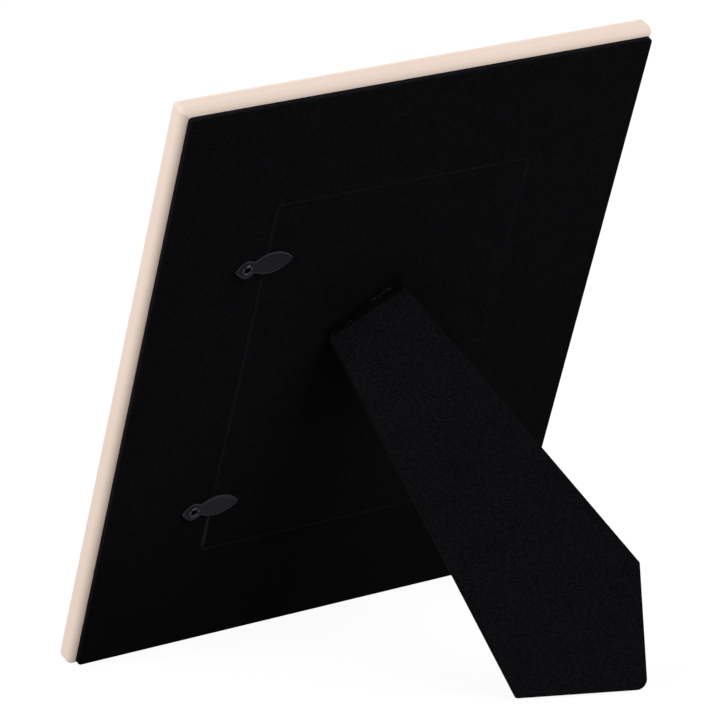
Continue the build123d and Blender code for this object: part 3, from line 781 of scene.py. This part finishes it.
def ring_tree():
    """Copies of a petal turned evenly about the middle, with a small seeded change of size."""
    tree, given = group_for("petal ring", [], ["Count", "Seed"])
    spots = add(tree, "GeometryNodePoints", {"Count": given["Count"]})
    step = add(tree, "ShaderNodeMath", {0: 2 * math.pi, 1: given["Count"]}, operation="DIVIDE")
    index = add(tree, "GeometryNodeInputIndex")
    angle = add(tree, "ShaderNodeMath", {0: index.outputs[0], 1: step.outputs[0]}, operation="MULTIPLY")
    euler = add(tree, "ShaderNodeCombineXYZ", {"Z": angle.outputs[0]})
    turn = add(tree, "FunctionNodeEulerToRotation", {0: euler.outputs[0]})
    size = add(tree, "FunctionNodeRandomValue", {2: 0.9, 3: 1.0, "Seed": given["Seed"]}, data_type="FLOAT")
    copies = add(tree, "GeometryNodeInstanceOnPoints", {
        "Points": spots.outputs[0], "Instance": given["Geometry"], "Rotation": turn.outputs[0],
        "Scale": size.outputs[1]})
    return finish_group(tree, copies, given["Finish"])


def grown(mesh, tree, wanted):
    """The plain mesh that a tree makes from a mesh, with the tree's inputs set by name."""
    source = bpy.data.objects.new(mesh.name, mesh)
    bpy.context.scene.collection.objects.link(source)
    nodes = source.modifiers.new("tree", "NODES")
    nodes.node_group = tree
    for socket in tree.interface.items_tree:
        if socket.in_out == "INPUT" and socket.name in wanted:
            nodes[socket.identifier] = wanted[socket.name]
    made = plain_mesh(source)
    source.modifiers.clear()
    bpy.data.objects.remove(source)
    return made


petals = ring_tree()
print("tree", petals.name, len(petals.nodes), "nodes")

# %% Two eyelets
petal = bpy.data.meshes.new("petal")
petal.from_pydata(petal_spots, [], petal_faces)
tube_spots, tube_faces = turned(TUBE, 2 * math.pi, steps=40)
ring_spots, ring_faces = [], []
for seed, rise in zip((3, 8), EYE_UPS):
    star = grown(petal.copy(), petals, {"Count": PETALS, "Seed": seed, "Finish": eyelet_steel})
    parts = [([v.co for v in star.vertices], [f.vertices for f in star.polygons]), (tube_spots, tube_faces)]
    for spots, sides in parts:
        start = len(ring_spots)
        ring_spots += [Vector(p) + Vector((EYE_ACROSS, rise, FLANGE_OUT)) for p in spots]
        ring_faces += [[start + i for i in side] for side in sides]
eyelets = make("turn_button_eyelet_stars", ring_spots, ring_faces, back, eyelet_steel)
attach(eyelets, "frame")
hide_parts("turn_button_eyelets")
print(eyelets.name, len(eyelets.data.polygons), "faces")

# %% [markdown]
# ## Loose fibres
# Where velvet is cut, its threads come loose: along the door's cut, and most of all at the raw
# top end of the leg. Fibres like these repeat along a line, so a Geometry Nodes tree lays them:
# it walks a line, stands a thin tapered fibre at each step, tilts it by a seeded random amount
# and makes the copies real.

# %% A tree that lays fibres along a line
def fibre_tree():
    """Fibres along the edges of a mesh, each tilted about its lay."""
    tree, given = group_for("loose fibres", ["Spacing", "Length", "Thickness", "Spread"], ["Seed"])
    line = add(tree, "GeometryNodeMeshToCurve", {"Mesh": given["Geometry"]})
    steps = add(tree, "GeometryNodeResampleCurve", {"Curve": line.outputs[0], "Length": given["Spacing"]},
                mode="LENGTH")
    lay = add(tree, "GeometryNodeInputNamedAttribute", {"Name": "lay"}, data_type="FLOAT_VECTOR")
    tilt = add(tree, "FunctionNodeRandomValue", {0: (-1, -1, -1), 1: (1, 1, 1), "Seed": given["Seed"]},
               data_type="FLOAT_VECTOR")
    spread = add(tree, "ShaderNodeVectorMath", {0: tilt.outputs[0], "Scale": given["Spread"]},
                 operation="SCALE")
    way = add(tree, "ShaderNodeVectorMath", {0: lay.outputs[0], 1: spread.outputs[0]}, operation="ADD")
    turn = add(tree, "FunctionNodeAlignRotationToVector", {"Vector": way.outputs[0]}, axis="Z")
    size = add(tree, "FunctionNodeRandomValue", {2: 0.45, 3: 1.25, "Seed": given["Seed"]}, data_type="FLOAT")
    fibre = add(tree, "GeometryNodeMeshCone", {
        "Vertices": 3, "Radius Bottom": given["Thickness"], "Depth": given["Length"]})
    copies = add(tree, "GeometryNodeInstanceOnPoints", {
        "Points": steps.outputs[0], "Instance": fibre.outputs["Mesh"],
        "Rotation": turn.outputs[0], "Scale": size.outputs[1]})
    return finish_group(tree, copies, given["Finish"])


fibres = fibre_tree()
print("tree", fibres.name, len(fibres.nodes), "nodes")

# %% Lay the fibres
def loose_fibres(name, body, lines, plane, spacing, length, thickness, spread, seed, finish):
    """A piece made of fibres along lines. A line is its points, their lays and whether it is closed."""
    mesh = bpy.data.meshes.new(name + "_line")
    spots, lays, links = [], [], []
    for line, lay, closed in lines:
        first, count = len(spots), len(line)
        links += [(first + i, first + (i + 1) % count) for i in range(count if closed else count - 1)]
        spots += [plane @ (Vector(p) * MM) for p in line]
        lays += [c for way in lay for c in plane.to_3x3() @ Vector(way).normalized()]
    mesh.from_pydata(spots, links, [])
    mesh.attributes.new("lay", "FLOAT_VECTOR", "POINT").data.foreach_set("vector", lays)
    made = grown(mesh, fibres, {
        "Spacing": spacing * MM, "Length": length * MM, "Thickness": thickness * MM, "Spread": spread,
        "Seed": seed, "Finish": finish})
    made.name = name
    piece = bpy.data.objects.new(name, made)
    bpy.context.scene.collection.objects.link(piece)
    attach(piece, body)
    print(piece.name, len(made.polygons), "faces")
    return piece


def flap_line(left, right, lean):
    """A line along part of the flap's raw edge, with fibres that lean along it and off it."""
    count = round((right - left) / FLAP_STEP)
    line = [flap_spot(right + (left - right) * i / count, 0.92) for i in range(count + 1)]
    return line, [(lean * math.sin(7 * spot.x), 1, 1) for spot in line], False


flap_end = flap_line(-16.2, 16.0, lean=1.0)
print("the flap's raw edge has", len(flap_end[0]), "points")

# %% Fibres along the door's cut and the leg's end
raw_thread = velvet("raw velvet threads", "1c1c1f", "343338")
cut_line = [(p.x, p.y, VELVET_OUT + 0.02) for p in cut_rim[0]]
cut_lay = [(-0.5 * w.x, -0.5 * w.y, 1) for w in cut_rim[1]]
cut_fibres = loose_fibres(
    "door_cut_fibres", "frame", [(cut_line, cut_lay, True)], back,
    spacing=0.5, length=0.5, thickness=0.05, spread=0.8, seed=4, finish=raw_thread)
end_fibres = loose_fibres(
    "leg_end_fibres", "leg", [flap_end], leg,
    spacing=0.35, length=0.8, thickness=0.05, spread=0.9, seed=9, finish=raw_thread)
FRAYED = [(3.2, 7.0), (8.2, 12.2), (-8.8, -7.6), (-16.2, -14.7)]
frayed_ends = loose_fibres(
    "leg_end_threads", "leg", [flap_line(left, right, lean=3.0) for left, right in FRAYED], leg,
    spacing=0.25, length=1.5, thickness=0.07, spread=0.8, seed=6, finish=raw_thread)

# %% [markdown]
# ## Cloth facts
# A sheet of cloth has a size that it was cut to before it was glued on. The sizes of the leg's
# cover and of its lining are worked out here.

def polygon_area(corners):
    """Area inside a polygon."""
    pairs = zip(corners, corners[1:] + corners[:1])
    return abs(sum(a[0] * b[1] - b[0] * a[1] for a, b in pairs)) / 2


def span(corners):
    """Width and height of the box round a polygon, in metres."""
    return tuple(MM * (max(c[i] for c in corners) - min(c[i] for c in corners)) for i in (0, 1))


cover = drawn_in(LEG, LEG_IN - LEG_OUT - TURN_IN)
polygon_area(cover) * MM * MM
pasted = drawn_in(LEG, TURN_IN - LAP)
polygon_area(pasted) * MM * MM
for label, corners in (("leg cover", cover), ("lining", pasted)):
    print(label, "is cut from", [round(x, 4) for x in span(corners)])

# %% [markdown]
# ## The slab
# The front is a slab of fibre board, sanded round at its edges, primed and sprayed with a satin
# lacquer in a pale blush. Sprayed lacquer is smooth but not flat: it has a very fine orange peel
# and its gloss varies a little, which breaks up reflections. The solid already has the right
# shape, so it stays and only gets this finish.

# %% Blush lacquer
def lacquer():
    """Sprayed satin lacquer: even colour, fine orange peel and a gloss that drifts a little."""
    material, tree, shader, where = finish_for("sprayed satin lacquer")
    drift = add(tree, "ShaderNodeTexNoise", {"Vector": where, "Scale": per(45.0), "Detail": 2.0})
    peel = add(tree, "ShaderNodeTexNoise", {"Vector": where, "Scale": per(1.1), "Detail": 1.0})
    tone = add(tree, "ShaderNodeMix", {0: drift.outputs[0], 6: linear("e9d4c5"), 7: linear("efdccf")},
               data_type="RGBA")
    gloss = add(tree, "ShaderNodeMapRange", {0: drift.outputs[0], 1: 0.3, 2: 0.7, 3: 0.52, 4: 0.6})
    bump = add(tree, "ShaderNodeBump", {"Height": peel.outputs[0], "Strength": 0.12, "Distance": 0.02 * MM})
    tree.links.new(tone.outputs[2], shader.inputs["Base Color"])
    tree.links.new(gloss.outputs[0], shader.inputs["Roughness"])
    tree.links.new(bump.outputs[0], shader.inputs["Normal"])
    shader.inputs["Specular IOR Level"].default_value = 0.3
    return material


blush = lacquer()
print("finish", blush.name)

# %% [markdown]
# ## Board, card, paper and glass
# Behind the window lie a float glass pane, a plain print and a filler card, and under the velvet
# are pressed paper boards. Little of them is ever seen, so the solids stay as they are and only
# get their finishes: flecks of fibre for what is made of paper, and clear glass.

# %% Pressed board and float glass
def board(name, pale, dark, fleck):
    """Pressed paper board: matt, with flecks of fibre."""
    material, tree, shader, where = finish_for(name)
    fibre = add(tree, "ShaderNodeTexNoise", {
        "Vector": where, "Scale": per(fleck), "Detail": 4.0, "Roughness": 0.7})
    tone = add(tree, "ShaderNodeMix", {0: fibre.outputs[0], 6: linear(dark), 7: linear(pale)},
               data_type="RGBA")
    bump = add(tree, "ShaderNodeBump", {"Height": fibre.outputs[0], "Strength": 0.3, "Distance": 0.05 * MM})
    tree.links.new(tone.outputs[2], shader.inputs["Base Color"])
    tree.links.new(bump.outputs[0], shader.inputs["Normal"])
    shader.inputs["Roughness"].default_value = 0.85
    return material


def glass():
    """Float glass: clear, with a faint green cast and a surface that is not quite perfect."""
    material, tree, shader, where = finish_for("picture glass")
    wave = add(tree, "ShaderNodeTexNoise", {"Vector": where, "Scale": per(60.0), "Detail": 1.0})
    haze = add(tree, "ShaderNodeMapRange", {0: wave.outputs[0], 1: 0.3, 2: 0.7, 3: 0.01, 4: 0.04})
    tree.links.new(haze.outputs[0], shader.inputs["Roughness"])
    shader.inputs["Base Color"].default_value = linear("f2f8f6")
    shader.inputs["Transmission Weight"].default_value = 1.0
    shader.inputs["IOR"].default_value = 1.52
    return material


grey_board = board("grey pressed board", "6b6762", "4f4b47", fleck=0.7)
filler_card = board("brown filler card", "a98760", "8a6a45", fleck=0.9)
print_paper = board("plain print paper", "e9e6df", "dedad1", fleck=1.5)
clear_glass = glass()
print("finishes", [made.name for made in (grey_board, filler_card, print_paper, clear_glass)])

# %% Dress the solids that stay
dressing = {
    "front_frame": blush, "glass_pane": clear_glass,
    "picture_print": print_paper, "filler_board": filler_card,
    "back_board": grey_board, "door_board": grey_board, "leg_board": grey_board,
    "hinge_pin": eyelet_steel, "door_leaf_rivets": eyelet_steel, "leg_leaf_rivets": eyelet_steel,
    "hinge_door_leaf": hinge_steel, "hinge_leg_leaf": hinge_steel,
}
for node, finish in dressing.items():
    mesh = frame["nodes"][node].data
    mesh.materials.clear()
    mesh.materials.append(finish)
print("dressed", len(dressing), "nodes")

# %% [markdown]
# ## Floor, light and camera
# One very large lamp at the back and to the right lights the velvet softly and lays the leg's
# shadow down the door. A lamp on the left and one in front light the slab's edges and its face.
# To the camera the floor and the world are nearly white, so that only the frame and its soft
# shadow show, but the light that they throw back on the frame stays low.

# %% Paper floor
def studio_floor():
    """Paper floor: grey to the light that it bounces, white to the eye, and still shaded by the frame."""
    material, tree, shader, where = finish_for("studio paper")
    tooth = add(tree, "ShaderNodeTexNoise", {"Vector": where, "Scale": per(30.0), "Detail": 2.0})
    tone = add(tree, "ShaderNodeMix", {0: tooth.outputs[0], 6: linear("5c5c5c"), 7: linear("5f5f5f")},
               data_type="RGBA")
    tree.links.new(tone.outputs[2], shader.inputs["Base Color"])
    shader.inputs["Roughness"].default_value = 1.0
    shader.inputs["Specular IOR Level"].default_value = 0.0
    rays = add(tree, "ShaderNodeLightPath").outputs
    seen = add(tree, "ShaderNodeMath", {0: rays["Is Camera Ray"], 1: rays["Is Transmission Ray"]},
               operation="MAXIMUM")
    mirrored = add(tree, "ShaderNodeMath", {0: rays["Is Glossy Ray"], 1: 0.6}, operation="MULTIPLY")
    lift = add(tree, "ShaderNodeMath", {0: seen.outputs[0], 1: 0.92, 2: mirrored.outputs[0]},
               operation="MULTIPLY_ADD")
    white = add(tree, "ShaderNodeEmission", {"Strength": lift.outputs[0]})
    both = add(tree, "ShaderNodeAddShader", {0: shader.outputs[0], 1: white.outputs[0]})
    tree.links.new(both.outputs[0], tree.nodes["Material Output"].inputs["Surface"])
    return material


FLOOR_HALF = 6.0
floor_corners = box_corners(-FLOOR_HALF, -FLOOR_HALF, FLOOR_HALF, FLOOR_HALF)
floor_mesh = bpy.data.meshes.new("studio_floor")
floor_mesh.from_pydata([(x, y, 0) for x, y in floor_corners], [], [(0, 1, 2, 3)])
floor_mesh.materials.append(studio_floor())
floor = bpy.data.objects.new("studio_floor", floor_mesh)
bpy.context.scene.collection.objects.link(floor)
print(floor.name, "is", 2 * FLOOR_HALF, "metres wide")

# %% A white world
world = bpy.data.worlds.new("white studio")
bpy.context.scene.world = world
world.use_nodes = True
tree = world.node_tree
rays = add(tree, "ShaderNodeLightPath").outputs
seen = add(tree, "ShaderNodeMath", {0: rays["Is Camera Ray"], 1: rays["Is Glossy Ray"]}, operation="MAXIMUM")
through = add(tree, "ShaderNodeMath", {0: seen.outputs[0], 1: rays["Is Transmission Ray"]},
              operation="MAXIMUM")
level = add(tree, "ShaderNodeMapRange", {0: through.outputs[0], 3: 0.16, 4: 1.0})
shade = tree.nodes["Background"]
shade.inputs["Color"].default_value = (1, 1, 1, 1)
tree.links.new(level.outputs[0], shade.inputs["Strength"])
print("world", world.name)

# %% Three soft lamps
LAMP_AIM = Vector((0, 0, 0.12))


def lamp(name, place, size, power):
    """A square soft lamp that looks at the middle of the frame."""
    light = bpy.data.lights.new(name, "AREA")
    light.size, light.energy = size, power
    stand = bpy.data.objects.new(name, light)
    stand.location = place
    stand.rotation_euler = (LAMP_AIM - Vector(place)).to_track_quat("-Z", "Y").to_euler()
    bpy.context.scene.collection.objects.link(stand)
    print("lamp", name, power, "watts")


lamp("left", (2.0, -0.1, 0.85), size=1.2, power=40)
lamp("right", (-1.0, 1.1, 1.3), size=1.8, power=32)
lamp("front", (-0.4, -2.0, 1.2), size=1.2, power=23)

# %% Camera, placed from the foot of the back
PHOTO_PIXELS, FOCAL_PIXELS, SENSOR = 720, 4964.85, 36.0
VIEWER_SPOT, VIEWER_AIM = Vector((961.229, 1508.751, 714.482)), Vector((-3.072, 40.0, 114.324))
camera = bpy.data.cameras.new("camera")
camera.sensor_width = SENSOR
camera.lens = FOCAL_PIXELS * SENSOR / PHOTO_PIXELS
viewer = bpy.data.objects.new("camera", camera)
viewer.location = back.translation + MM * VIEWER_SPOT
aim = back.translation + MM * VIEWER_AIM
viewer.rotation_euler = (aim - viewer.location).to_track_quat("-Z", "Y").to_euler()
bpy.context.scene.collection.objects.link(viewer)
bpy.context.scene.camera = viewer
bpy.context.scene.view_settings.view_transform = "Standard"
print("lens", round(camera.lens, 1))
